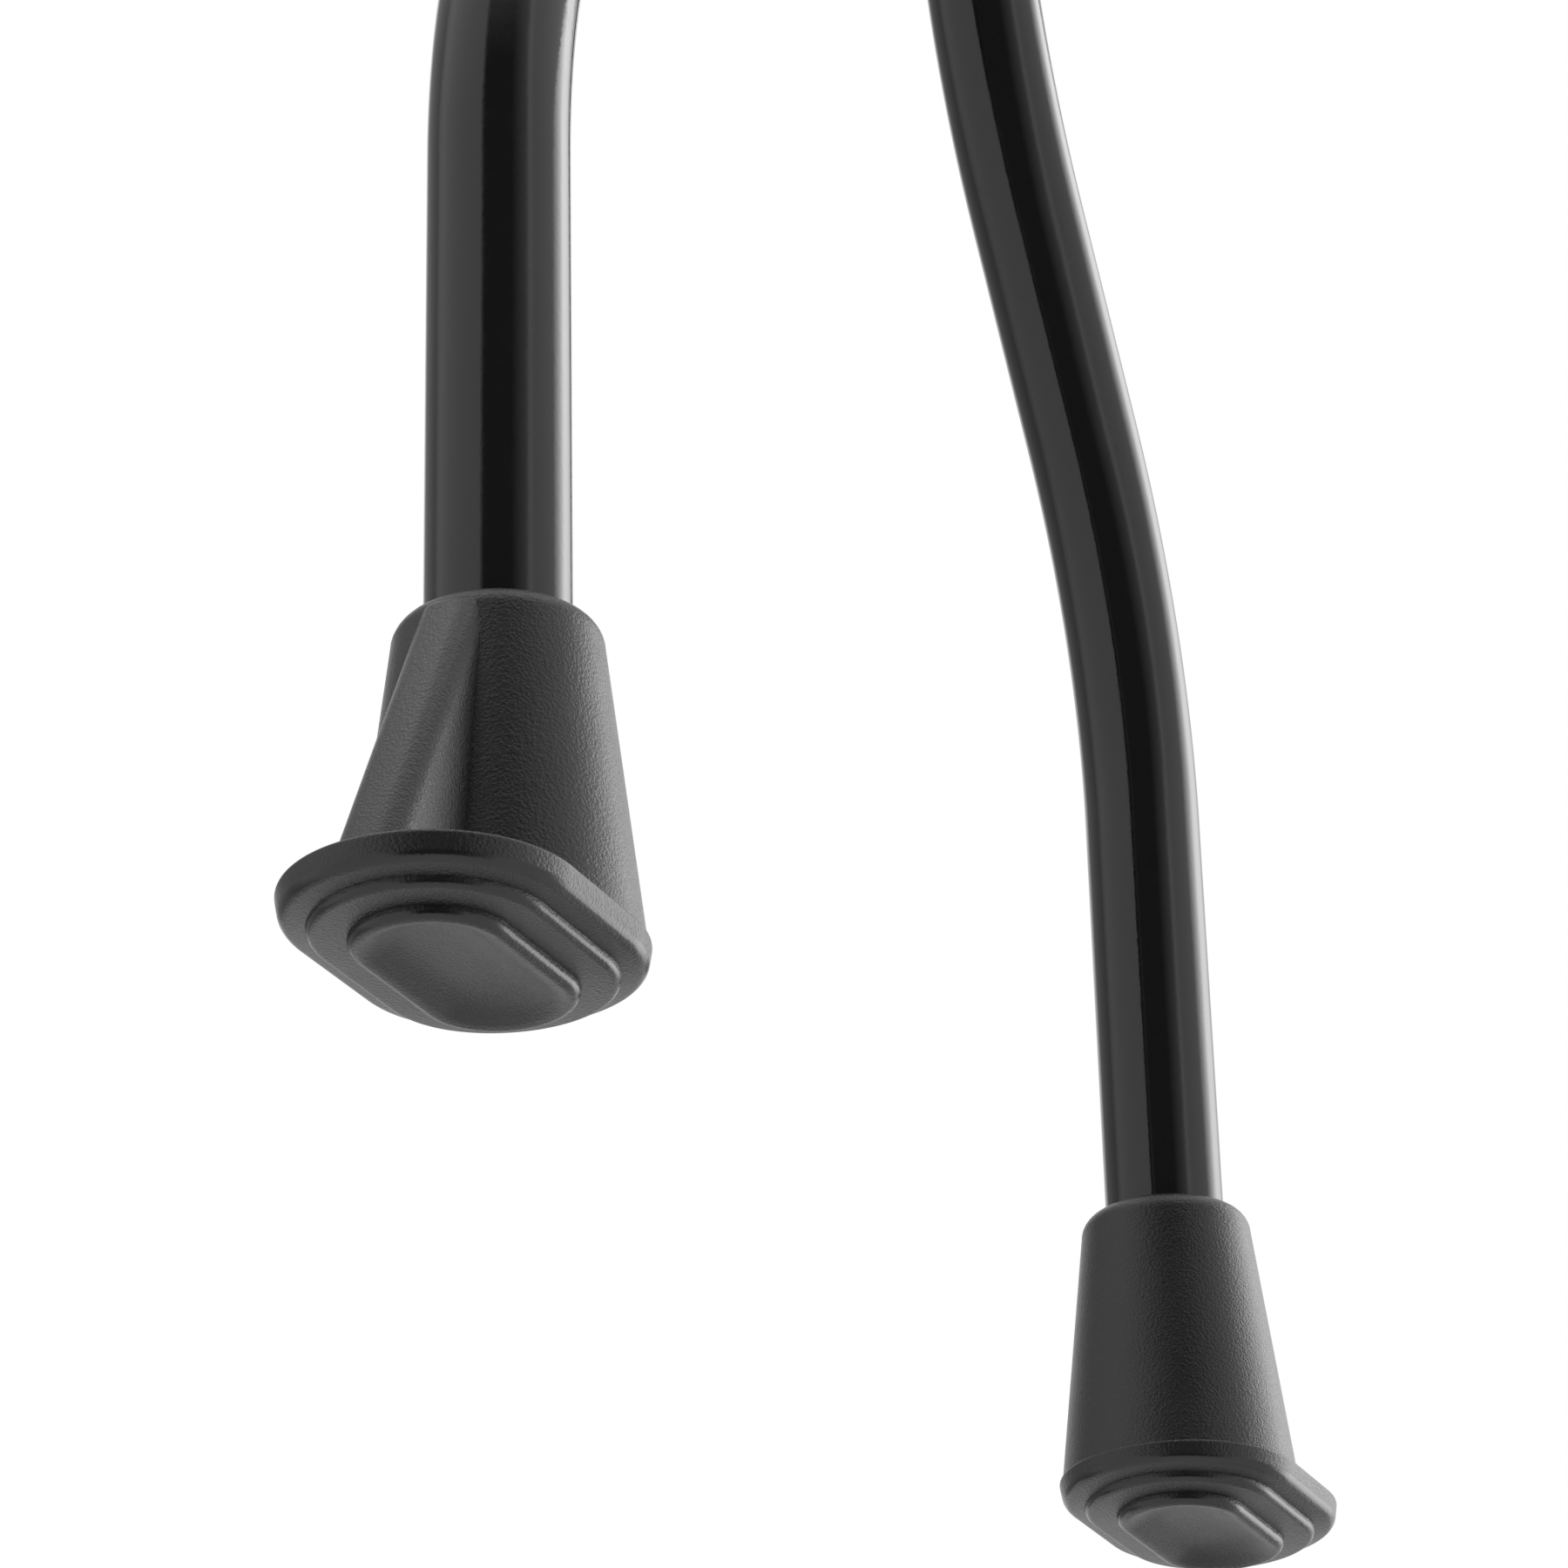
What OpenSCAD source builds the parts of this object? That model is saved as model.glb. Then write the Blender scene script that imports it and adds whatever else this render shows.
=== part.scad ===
// Pair of underarm crutches with bent lower legs and offset rubber feet.
// Millimetres. X joins the two feet, the toes point outward. Y is fore and aft. Z is up.

/* [Legs] */
// Distance between the axes of the two feet
foot_gap = 268; // [250:1:300]
// Outside diameter of the leg tube
tube_d = 22.2; // [21:0.1:23.5]
// Wall of the leg tube
tube_wall = 1.3; // [1:0.1:1.8]
// Straight tube between the foot and the lower bend
low_run = 82.2; // [70:0.2:100]
// Lean of the tube between its two bends
lean = 32; // [26:0.5:35]
// Centre line radius of the lower bend
low_bend_r = 144; // [125:1:155]
// Straight tube between the two bends
mid_run = 44; // [30:1:50]
// Centre line radius of the upper bend
high_bend_r = 157; // [140:1:175]

/* [Rubber foot] */
// Height of the foot from the floor to its collar
foot_h = 60.3; // [56:0.1:70]
// Radius of the collar at the top of the cone
collar_r = 15.9; // [15:0.1:17]
// Radius of the sole plate
sole_r = 22.3; // [21.5:0.1:24]
// How far the toe end of the sole lies from the tube axis
toe_reach = 19.4; // [16:0.2:22]
// Thickness of the sole plate
plate_t = 5.2; // [4.6:0.1:6.4]
// Height of each step under the plate
step_h = 1.9; // [1.2:0.1:2.4]
// Width of the rib on the toe side
rib_w = 10.6; // [8.6:0.2:12]

/* [Height setting] */
// Spacing of the height holes and of the grip holes
pitch = 25.4; // [22:0.2:26]
// Diameter of the snap button
button_d = 8; // [7:0.1:8.4]
// Outside diameter of the sleeve
sleeve_d = 26.6; // [26:0.1:28]
// Gap between the sleeve bore and the leg tube
sleeve_gap = 0.9; // [0.6:0.05:1]
// Sliding clearance on the radius of guides and pins
run_fit = 0.08; // [0.04:0.01:0.1]

/* [Uprights] */
// Outside diameter of the side tubes
upright_d = 19; // [18:0.1:20]
// Wall of the side tubes
upright_wall = 1.2; // [1:0.1:1.6]
// Half of the distance between the side tube axes at the grip
half_span = 62.5; // [58:0.5:68]
// Height of each yoke
yoke_h = 28; // [24:1:32]
// Straight side tube above the top grip hole
top_run = 225; // [200:5:260]

/* [Saddle] */
// Radius of the bow, measured on its middle line
bow_r = 260; // [240:5:300]
// Half of the length of the bow, measured as an angle
bow_half_angle = 20.5; // [19:0.5:23]
// Width of the pad
pad_w = 46; // [42:1:52]
// Height of the pad above the bow
pad_crown = 17; // [14:0.5:20]

/* [Hand grip] */
// Largest diameter of the grip
grip_d = 34; // [31:0.5:37]
// Diameter of the grip bolt
bolt_d = 6; // [5.5:0.1:6.5]

/* [Hidden] */
$fn = 64;

// bends: how much thinner than the straight bars, and how far the bars overlap them
seam = 0.05;
lap = 0.5;

// leg path
tube_r = tube_d / 2;
tube_in = tube_r - tube_wall;
foot_x = foot_gap / 2;
bend1_z = foot_h + low_run;
bend1_end_x = foot_x - low_bend_r * (1 - cos(lean));
bend1_end_z = bend1_z + low_bend_r * sin(lean);
bend2_x = bend1_end_x - mid_run * sin(lean);
bend2_z = bend1_end_z + mid_run * cos(lean);
bend2_centre_x = bend2_x + high_bend_r * cos(lean);
bend2_centre_z = bend2_z + high_bend_r * sin(lean);
shaft_x = bend2_centre_x - high_bend_r;
bend_top_z = bend2_centre_z;

// foot
washer_t = 2;
washer_z = 14;
tube_low = washer_z + washer_t;
plate_low = 2 * step_h;
plate_high = plate_low + plate_t;
step1_r = sole_r - 4.5;
step2_r = sole_r - 10.3;
cone_low_r = sole_r - 0.75;
collar_round = collar_r - tube_r - 0.8;
rib_top = foot_h - 2.5;
rib_toe = toe_reach + sole_r - 1.2;
rib_round = 3.6;

// height setting
button_r = button_d / 2;
hole_count = 7;
sleeve_r = sleeve_d / 2;
sleeve_in = tube_r + sleeve_gap;
sleeve_low = bend_top_z + 30;
first_hole_z = sleeve_low + 34 + yoke_h;
button_z = first_hole_z + (hole_count - 1) * pitch;
lower_yoke_z = sleeve_low + 12;
upper_yoke_z = button_z + 12;
sleeve_top = upper_yoke_z + yoke_h + 14;
leg_top = button_z + 26;
guide_h = 12;
spring_w = 8;
spring_t = 0.8;
spring_seat = 4;
spring_tail = 6;
spring_drop = 45;
spring_nose = 0.7;
flange_x = tube_in - 4;

// uprights
upright_r = upright_d / 2;
upright_in = upright_r - upright_wall;
upright_y = sleeve_r + upright_r + 1.3;
upright_low = sleeve_low + 5;
splay = 22;
splay_r = 110;
splay_z = sleeve_top + 4;
splay_run = (half_span - upright_y - 2 * splay_r * (1 - cos(splay))) / sin(splay);
splay_end_z = splay_z + 2 * splay_r * sin(splay) + splay_run * cos(splay);
first_grip_z = splay_end_z + 16;
grip_z = first_grip_z + pitch;
upright_top = first_grip_z + (hole_count - 1) * pitch + top_run;
yoke_half_x = sleeve_r + 3.2;
yoke_half_y = upright_y + upright_r + 4;
yoke_corner = 7;
yoke_edge = 2;
yoke_recess = 1.2;
yoke_land = 9;
yoke_rim = 6;
yoke_bolt_r = 2.5;
yoke_bolt_head_r = 4.6;
yoke_bolt_head_t = 3.6;

// saddle
bow_t = 14;
bow_half_x = 14;
socket_r = upright_r + 3.2;
socket_depth = 26;
bow_drop = bow_r - sqrt(bow_r * bow_r - half_span * half_span);
bow_low_z = upright_top + 12 - bow_drop;
bow_centre_z = bow_low_z + bow_r;
pad_over = 2.5;
pad_half_angle = bow_half_angle + pad_over;
pad_out_r = bow_r + bow_t / 2 + 3;
pad_in_r = bow_r - bow_t / 2 - pad_crown;
screw_r = 2;

// hand grip
bolt_r = bolt_d / 2;
core_half = half_span - upright_r;
core_r = bolt_r + 3.5;
grip_r = grip_d / 2;
washer_seat = 1.6;
grip_end_r = 6;
barrel_r = 110;

module side(which) {
    if (which == "left") {
        mirror([1, 0, 0]) children();
    } else {
        children();
    }
}

module ring_2d(outer, inner) {
    difference() {
        circle(outer);
        circle(inner);
    }
}

module pipe(outer, inner, length) {
    linear_extrude(length) ring_2d(outer, inner);
}

// Bend of a round bar, a hair thinner than the straight bars that overlap its ends.
module elbow(radius, angle, r) {
    rotate_extrude(angle = angle) translate([radius, 0]) circle(r - seam);
}

module rounded_rect(x, y, r) {
    square([x - 2 * r, y], center = true);
    square([x, y - 2 * r], center = true);
    for (i = [-1, 1]) {
        for (j = [-1, 1]) {
            translate([i * (x / 2 - r), j * (y / 2 - r)]) circle(r);
        }
    }
}

// Round bar along the bent path of the leg, longer by over at both ends.
module leg_bar(r, over) {
    translate([foot_x, 0, tube_low - over]) cylinder(h = bend1_z - tube_low + over + lap, r = r);
    translate([foot_x - low_bend_r, 0, bend1_z]) rotate([90, 0, 0]) elbow(low_bend_r, lean, r);
    translate([bend1_end_x, 0, bend1_end_z]) rotate([0, -lean, 0]) translate([0, 0, -lap])
        cylinder(h = mid_run + 2 * lap, r = r);
    translate([bend2_centre_x, 0, bend2_centre_z]) rotate([90, 0, 0]) rotate([0, 0, 180])
        elbow(high_bend_r, lean, r);
    translate([shaft_x, 0, bend_top_z - lap]) cylinder(h = leg_top - bend_top_z + lap + over, r = r);
}

module leg_tube() {
    color([0.04, 0.04, 0.045]) difference() {
        leg_bar(tube_r, 0);
        leg_bar(tube_in, 1);
        translate([shaft_x, 0, button_z]) rotate([0, 90, 0])
            cylinder(h = 2 * tube_r, r = button_r + run_fit);
    }
}

module leg_guide() {
    color([0.32, 0.32, 0.34]) translate([shaft_x, 0, leg_top]) difference() {
        union() {
            cylinder(h = guide_h, r = sleeve_in - run_fit);
            translate([0, 0, -10]) cylinder(h = 11, r = tube_in);
        }
        translate([0, 0, -11]) cylinder(h = guide_h + 12, r = tube_in - 3);
    }
}

// Half outline of one sole layer, rounded at its lower edge and, if asked, at its upper edge.
module layer_half(r, h, low_round, high_round) {
    square([r - max(low_round, high_round), h]);
    translate([0, low_round]) square([r, h - low_round - high_round]);
    if (low_round > 0) {
        translate([r - low_round, low_round]) circle(low_round);
    }
    if (high_round > 0) {
        translate([r - high_round, h - high_round]) circle(high_round);
    }
}

module sole_layer(r, low, high, low_round, high_round) {
    translate([0, 0, low]) {
        for (x = [0, toe_reach]) {
            translate([x, 0, 0]) rotate_extrude() intersection() {
                layer_half(r, high - low, low_round, high_round);
                square([r, high - low]);
            }
        }
        rotate([90, 0, 90]) linear_extrude(toe_reach) intersection() {
            union() {
                layer_half(r, high - low, low_round, high_round);
                mirror([1, 0]) layer_half(r, high - low, low_round, high_round);
            }
            translate([-r, 0]) square([2 * r, high - low]);
        }
    }
}

module rib_slab(width, back) {
    rotate([90, 0, 0]) translate([0, 0, -width / 2]) linear_extrude(width)
        polygon([[0, plate_high - 1], [rib_toe - back, plate_high - 1],
            [collar_r - back, rib_top], [0, rib_top]]);
}

module rubber_foot() {
    lean_back = atan((rib_toe - collar_r) / (rib_top + 1 - plate_high));
    edge_len = (rib_top + 1 - plate_high) / cos(lean_back);
    color([0.09, 0.09, 0.1]) translate([foot_x, 0, 0]) difference() {
        union() {
            rotate_extrude() {
                polygon([[0, plate_high - 1], [cone_low_r, plate_high - 1],
                    [collar_r, foot_h - collar_round], [collar_r - collar_round, foot_h], [0, foot_h]]);
                translate([collar_r - collar_round - 0.02, foot_h - collar_round]) circle(collar_round);
            }
            sole_layer(sole_r, plate_low, plate_high, 1.6, 0.6);
            sole_layer(step1_r, step_h, plate_low + 1, 0.8, 0);
            sole_layer(step2_r, 0, step_h + 1, 0.8, 0);
            rib_slab(rib_w, rib_round);
            rib_slab(rib_w - 2 * rib_round, 0.05);
            for (y = [-1, 1]) {
                translate([rib_toe - rib_round, y * (rib_w / 2 - rib_round), plate_high - 1])
                    rotate([0, -lean_back, 0]) cylinder(h = edge_len, r = rib_round);
            }
        }
        translate([0, 0, washer_z]) cylinder(h = foot_h, r = tube_r);
    }
}

module foot_washer() {
    color([0.6, 0.6, 0.62]) translate([foot_x, 0, washer_z]) pipe(tube_r, 3, washer_t);
}

module snap_spring() {
    back_x = sqrt(tube_in * tube_in - spring_w * spring_w / 4);
    color([0.65, 0.66, 0.68]) translate([shaft_x, 0, button_z]) rotate([90, 0, 0])
        translate([0, 0, -spring_w / 2]) linear_extrude(spring_w)
        polygon([[flange_x, -spring_seat], [flange_x, spring_seat],
            [flange_x - spring_t, spring_seat], [flange_x - spring_t, 0.2 - spring_seat],
            [-1.2, 2 - spring_drop], [-back_x + spring_t, -spring_seat],
            [-back_x + spring_t, spring_tail], [-back_x, spring_tail], [-back_x, -spring_seat - 0.2],
            [-1.2 - spring_nose, -spring_drop], [-1.2 + spring_nose, -spring_drop]]);
}

module snap_button() {
    tip_x = sleeve_r + 2;
    color([0.75, 0.76, 0.78]) translate([shaft_x, 0, button_z]) rotate([0, 90, 0]) {
        translate([0, 0, flange_x]) cylinder(h = 1.5, r = button_r + 1.3);
        translate([0, 0, flange_x + 1]) cylinder(h = tip_x - flange_x - 2.4, r = button_r);
        translate([0, 0, tip_x - 1.5]) cylinder(h = 1.5, r1 = button_r, r2 = button_r - 1.3);
    }
}

module leg_sleeve() {
    color([0.04, 0.04, 0.045]) translate([shaft_x, 0, 0]) difference() {
        translate([0, 0, sleeve_low]) pipe(sleeve_r, sleeve_in, sleeve_top - sleeve_low);
        for (i = [0 : hole_count - 1]) {
            translate([0, 0, first_hole_z + i * pitch]) rotate([0, 90, 0])
                cylinder(h = 2 * sleeve_r, r = button_r + 0.3);
        }
    }
}

module sleeve_bush() {
    color([0.3, 0.3, 0.32]) translate([shaft_x, 0, sleeve_low]) {
        translate([0, 0, -6]) pipe(sleeve_r + 1.2, tube_r + run_fit, 6);
        pipe(sleeve_in, tube_r + run_fit, 26);
    }
}

module sleeve_cap() {
    color([0.12, 0.12, 0.13]) translate([shaft_x, 0, sleeve_top]) {
        cylinder(h = 1.6, r = sleeve_r);
        translate([0, 0, 1.5]) cylinder(h = 1.6, r1 = sleeve_r, r2 = sleeve_r - 2);
        translate([0, 0, -8]) cylinder(h = 8.5, r = sleeve_in);
    }
}

// Round bar along the path of the side tube on the +Y side, drawn about the shaft axis.
module upright_bar(r, over) {
    run_y = upright_y + splay_r * (1 - cos(splay));
    run_z = splay_z + splay_r * sin(splay);
    translate([0, upright_y, upright_low - over])
        cylinder(h = splay_z - upright_low + over + lap, r = r);
    translate([0, upright_y + splay_r, splay_z]) rotate([90, 0, -90]) elbow(splay_r, splay, r);
    translate([0, run_y, run_z]) rotate([-splay, 0, 0]) translate([0, 0, -lap])
        cylinder(h = splay_run + 2 * lap, r = r);
    translate([0, half_span - splay_r, splay_end_z]) rotate([90, 0, 90]) rotate([0, 0, -splay])
        elbow(splay_r, splay, r);
    translate([0, half_span, splay_end_z - lap])
        cylinder(h = upright_top - splay_end_z + lap + over, r = r);
}

module upright_body() {
    difference() {
        upright_bar(upright_r, 0);
        upright_bar(upright_in, 1);
        for (i = [0 : hole_count - 1]) {
            translate([0, half_span - 2 * upright_r, first_grip_z + i * pitch])
                rotate([-90, 0, 0]) cylinder(h = 4 * upright_r, r = bolt_r + 0.3);
        }
        for (z = [lower_yoke_z + yoke_h / 2, upper_yoke_z + yoke_h / 2]) {
            translate([-2 * upright_r, upright_y, z]) rotate([0, 90, 0])
                cylinder(h = 4 * upright_r, r = yoke_bolt_r);
        }
        translate([-2 * upright_r, half_span, upright_top - socket_depth / 2]) rotate([0, 90, 0])
            cylinder(h = 4 * upright_r, r = screw_r);
    }
}

module front_upright() {
    color([0.04, 0.04, 0.045]) translate([shaft_x, 0, 0]) upright_body();
}

module rear_upright() {
    color([0.04, 0.04, 0.045]) translate([shaft_x, 0, 0]) mirror([0, 1, 0]) upright_body();
}

module chamfered_rect(x, y, edge) {
    polygon([[-x / 2 + edge, -y / 2], [x / 2 - edge, -y / 2], [x / 2, -y / 2 + edge],
        [x / 2, y / 2 - edge], [x / 2 - edge, y / 2], [-x / 2 + edge, y / 2],
        [-x / 2, y / 2 - edge], [-x / 2, -y / 2 + edge]]);
}

// Block with rounded corners and chamfered rims above and below.
module yoke_block() {
    intersection() {
        linear_extrude(yoke_h) rounded_rect(2 * yoke_half_x, 2 * yoke_half_y, yoke_corner);
        translate([0, 2 * yoke_half_y, yoke_h / 2]) rotate([90, 0, 0])
            linear_extrude(4 * yoke_half_y) chamfered_rect(2 * yoke_half_x, yoke_h, yoke_edge);
        translate([-2 * yoke_half_x, 0, yoke_h / 2]) rotate([90, 0, 90])
            linear_extrude(4 * yoke_half_x) chamfered_rect(2 * yoke_half_y, yoke_h, yoke_edge);
    }
}

// Block on three tubes, with a shallow recess between the bolts on both faces.
module yoke(z) {
    translate([shaft_x, 0, z]) difference() {
        yoke_block();
        translate([0, 0, -1]) linear_extrude(yoke_h + 2) {
            circle(sleeve_r);
            for (y = [-1, 1]) {
                translate([0, y * upright_y]) circle(upright_r);
            }
        }
        for (y = [-1, 1]) {
            translate([-2 * yoke_half_x, y * upright_y, yoke_h / 2]) rotate([0, 90, 0])
                cylinder(h = 4 * yoke_half_x, r = yoke_bolt_r);
        }
        for (a = [0, 180]) {
            rotate([0, 0, a]) translate([yoke_half_x - yoke_recess, 0, yoke_h / 2])
                rotate([90, 0, 90]) linear_extrude(2 * yoke_recess)
                rounded_rect(2 * (upright_y - yoke_land), yoke_h - 2 * yoke_rim, 3);
        }
    }
}

module lower_yoke() {
    color([0.1, 0.1, 0.11]) yoke(lower_yoke_z);
}

module upper_yoke() {
    color([0.1, 0.1, 0.11]) yoke(upper_yoke_z);
}

module at_yoke_bolts() {
    for (z = [lower_yoke_z, upper_yoke_z]) {
        for (y = [-1, 1]) {
            translate([shaft_x, y * upright_y, z + yoke_h / 2]) rotate([0, 90, 0]) children();
        }
    }
}

module yoke_bolts() {
    color([0.72, 0.73, 0.75]) at_yoke_bolts() {
        translate([0, 0, -yoke_half_x - 5.5]) cylinder(h = 2 * yoke_half_x + 6, r = yoke_bolt_r);
        translate([0, 0, yoke_half_x]) cylinder(h = yoke_bolt_head_t, r = yoke_bolt_head_r, $fn = 6);
    }
}

module yoke_nuts() {
    color([0.72, 0.73, 0.75]) at_yoke_bolts() {
        translate([0, 0, -yoke_half_x - 4]) difference() {
            cylinder(h = 4, r = yoke_bolt_head_r, $fn = 6);
            translate([0, 0, -1]) cylinder(h = 6, r = yoke_bolt_r);
        }
    }
}

module upright_plugs() {
    color([0.08, 0.08, 0.09]) for (y = [-1, 1]) {
        translate([shaft_x, y * upright_y, upright_low]) {
            translate([0, 0, -1.6]) cylinder(h = 1.6, r = upright_r);
            translate([0, 0, -3]) cylinder(h = 1.5, r1 = upright_r - 2, r2 = upright_r);
            translate([0, 0, -0.5]) cylinder(h = 5, r = upright_in);
        }
    }
}

// Sweeps a cross section, drawn as [across, radius], along the bow.
module bow_sweep(half_angle) {
    translate([shaft_x, 0, bow_centre_z]) rotate([0, 90, 0]) rotate([0, 0, -half_angle])
        rotate_extrude(angle = 2 * half_angle) children();
}

module bow_section(grow) {
    translate([bow_r - bow_t / 2 - grow, -bow_half_x - grow])
        square([bow_t + 2 * grow, 2 * bow_half_x + 2 * grow]);
}

module saddle_core() {
    color([0.14, 0.14, 0.15]) difference() {
        union() {
            bow_sweep(bow_half_angle) bow_section(0);
            for (y = [-1, 1]) {
                translate([shaft_x, y * half_span, upright_top - socket_depth])
                    cylinder(h = socket_depth + 12, r = socket_r);
            }
        }
        for (y = [-1, 1]) {
            translate([shaft_x, y * half_span, upright_top - 2 * socket_depth])
                cylinder(h = 2 * socket_depth, r = upright_r);
            translate([shaft_x - 2 * socket_r, y * half_span, upright_top - socket_depth / 2])
                rotate([0, 90, 0]) cylinder(h = 4 * socket_r, r = screw_r);
            for (a = [90, -90]) {
                translate([shaft_x, y * half_span, upright_top - socket_depth / 2]) rotate([0, a, 0])
                    translate([0, 0, socket_r - 0.3]) cylinder(h = socket_r, r = 4);
            }
        }
    }
}

// Cross section of the pad: a crowned top and sides drawn in at half height.
module pad_section() {
    height = pad_out_r - pad_in_r;
    crown_r = 46;
    side_r = 70;
    difference() {
        intersection() {
            translate([pad_in_r + height / 2, 0]) rounded_rect(height, pad_w, 7);
            translate([pad_in_r + crown_r, 0]) circle(crown_r);
        }
        for (i = [-1, 1]) {
            translate([pad_in_r + height / 2, i * (pad_w / 2 + side_r - 1.6)]) circle(side_r);
        }
    }
}

module underarm_pad() {
    color([0.12, 0.12, 0.13]) difference() {
        bow_sweep(pad_half_angle) pad_section();
        bow_sweep(bow_half_angle) bow_section(0);
        for (y = [-1, 1]) {
            translate([shaft_x, y * half_span, upright_top - socket_depth])
                cylinder(h = socket_depth + 12, r = socket_r);
        }
    }
}

module saddle_screws() {
    color([0.72, 0.73, 0.75]) for (y = [-1, 1]) {
        translate([shaft_x, y * half_span, upright_top - socket_depth / 2]) {
            for (a = [90, -90]) {
                rotate([0, a, 0]) {
                    translate([0, 0, 3]) cylinder(h = socket_r - 2.5, r = screw_r);
                    translate([0, 0, socket_r - 0.3]) cylinder(h = 1.7, r1 = 3.8, r2 = 2.6);
                }
            }
        }
    }
}

module grip_core() {
    color([0.7, 0.71, 0.73]) translate([shaft_x, -core_half, grip_z]) rotate([-90, 0, 0])
        pipe(core_r, bolt_r + 0.02, 2 * core_half);
}

module hand_grip() {
    palm = core_half - 1.5;
    color([0.1, 0.1, 0.11]) translate([shaft_x, 0, grip_z]) rotate([-90, 0, 0]) difference() {
        rotate_extrude() intersection() {
            translate([0, -palm]) square([grip_r, 2 * palm]);
            union() {
                translate([0, -palm + 3]) square([grip_r - 3, 2 * palm - 6]);
                translate([0, -palm]) square([grip_r - grip_end_r, 2 * palm]);
                for (y = [-1, 1]) {
                    translate([grip_r - grip_end_r, y * (palm - grip_end_r)]) circle(grip_end_r);
                }
                translate([grip_r - barrel_r, 0]) circle(barrel_r);
            }
        }
        translate([0, 0, -2 * palm]) cylinder(h = 4 * palm, r = core_r);
    }
}

module grip_bolt() {
    reach = half_span + upright_r + washer_seat;
    color([0.72, 0.73, 0.75]) translate([shaft_x, 0, grip_z]) rotate([-90, 0, 0]) {
        translate([0, 0, -reach - 12]) cylinder(h = 2 * reach + 12.5, r = bolt_r);
        translate([0, 0, reach]) cylinder(h = 3, r = bolt_r + 4);
        translate([0, 0, reach + 2.9]) cylinder(h = 1.4, r1 = bolt_r + 4, r2 = bolt_r + 1.5);
    }
}

module grip_washers() {
    color([0.3, 0.3, 0.32]) for (y = [-1, 1]) {
        translate([shaft_x, 0, grip_z]) difference() {
            rotate([-90 * y, 0, 0]) translate([0, 0, half_span + upright_r - 3])
                pipe(bolt_r + 5, bolt_r + 0.02, 3 + washer_seat);
            translate([0, y * half_span, -20]) cylinder(h = 40, r = upright_r);
        }
    }
}

module wing_nut() {
    seat = half_span + upright_r + washer_seat;
    color([0.7, 0.71, 0.73]) translate([shaft_x, -seat, grip_z]) rotate([90, 0, 0]) difference() {
        union() {
            cylinder(h = 4, r = bolt_r + 3.6);
            translate([0, 0, 3.9]) cylinder(h = 5, r1 = bolt_r + 3.4, r2 = bolt_r + 1.8);
            for (a = [0, 180]) {
                rotate([90, 0, a]) translate([0, 0, -1.5]) linear_extrude(3) {
                    translate([bolt_r + 9, 11]) circle(5.5);
                    polygon([[bolt_r + 1.2, 1], [bolt_r + 6, 3], [bolt_r + 13.5, 8],
                        [bolt_r + 5, 14], [bolt_r + 1.2, 7]]);
                }
            }
        }
        translate([0, 0, -1]) cylinder(h = 14, r = bolt_r + run_fit);
    }
}

side("left") leg_tube();  // left_leg_tube
side("left") leg_guide();  // left_leg_guide
side("left") rubber_foot();  // left_rubber_foot
side("left") foot_washer();  // left_foot_washer
side("left") snap_spring();  // left_snap_spring
side("left") snap_button();  // left_snap_button
side("left") leg_sleeve();  // left_leg_sleeve
side("left") sleeve_bush();  // left_sleeve_bush
side("left") sleeve_cap();  // left_sleeve_cap
side("left") front_upright();  // left_front_upright
side("left") rear_upright();  // left_rear_upright
side("left") lower_yoke();  // left_lower_yoke
side("left") upper_yoke();  // left_upper_yoke
side("left") yoke_bolts();  // left_yoke_bolts
side("left") yoke_nuts();  // left_yoke_nuts
side("left") upright_plugs();  // left_upright_plugs
side("left") saddle_core();  // left_saddle_core
side("left") underarm_pad();  // left_underarm_pad
side("left") saddle_screws();  // left_saddle_screws
side("left") grip_core();  // left_grip_core
side("left") hand_grip();  // left_hand_grip
side("left") grip_bolt();  // left_grip_bolt
side("left") grip_washers();  // left_grip_washers
side("left") wing_nut();  // left_wing_nut
side("right") leg_tube();  // right_leg_tube
side("right") leg_guide();  // right_leg_guide
side("right") rubber_foot();  // right_rubber_foot
side("right") foot_washer();  // right_foot_washer
side("right") snap_spring();  // right_snap_spring
side("right") snap_button();  // right_snap_button
side("right") leg_sleeve();  // right_leg_sleeve
side("right") sleeve_bush();  // right_sleeve_bush
side("right") sleeve_cap();  // right_sleeve_cap
side("right") front_upright();  // right_front_upright
side("right") rear_upright();  // right_rear_upright
side("right") lower_yoke();  // right_lower_yoke
side("right") upper_yoke();  // right_upper_yoke
side("right") yoke_bolts();  // right_yoke_bolts
side("right") yoke_nuts();  // right_yoke_nuts
side("right") upright_plugs();  // right_upright_plugs
side("right") saddle_core();  // right_saddle_core
side("right") underarm_pad();  // right_underarm_pad
side("right") saddle_screws();  // right_saddle_screws
side("right") grip_core();  // right_grip_core
side("right") hand_grip();  // right_hand_grip
side("right") grip_bolt();  // right_grip_bolt
side("right") grip_washers();  // right_grip_washers
side("right") wing_nut();  // right_wing_nut
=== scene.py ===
from math import atan2, cos, degrees, pi, radians, sin
import bmesh
import bpy
from mathutils import Matrix, Vector


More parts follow.
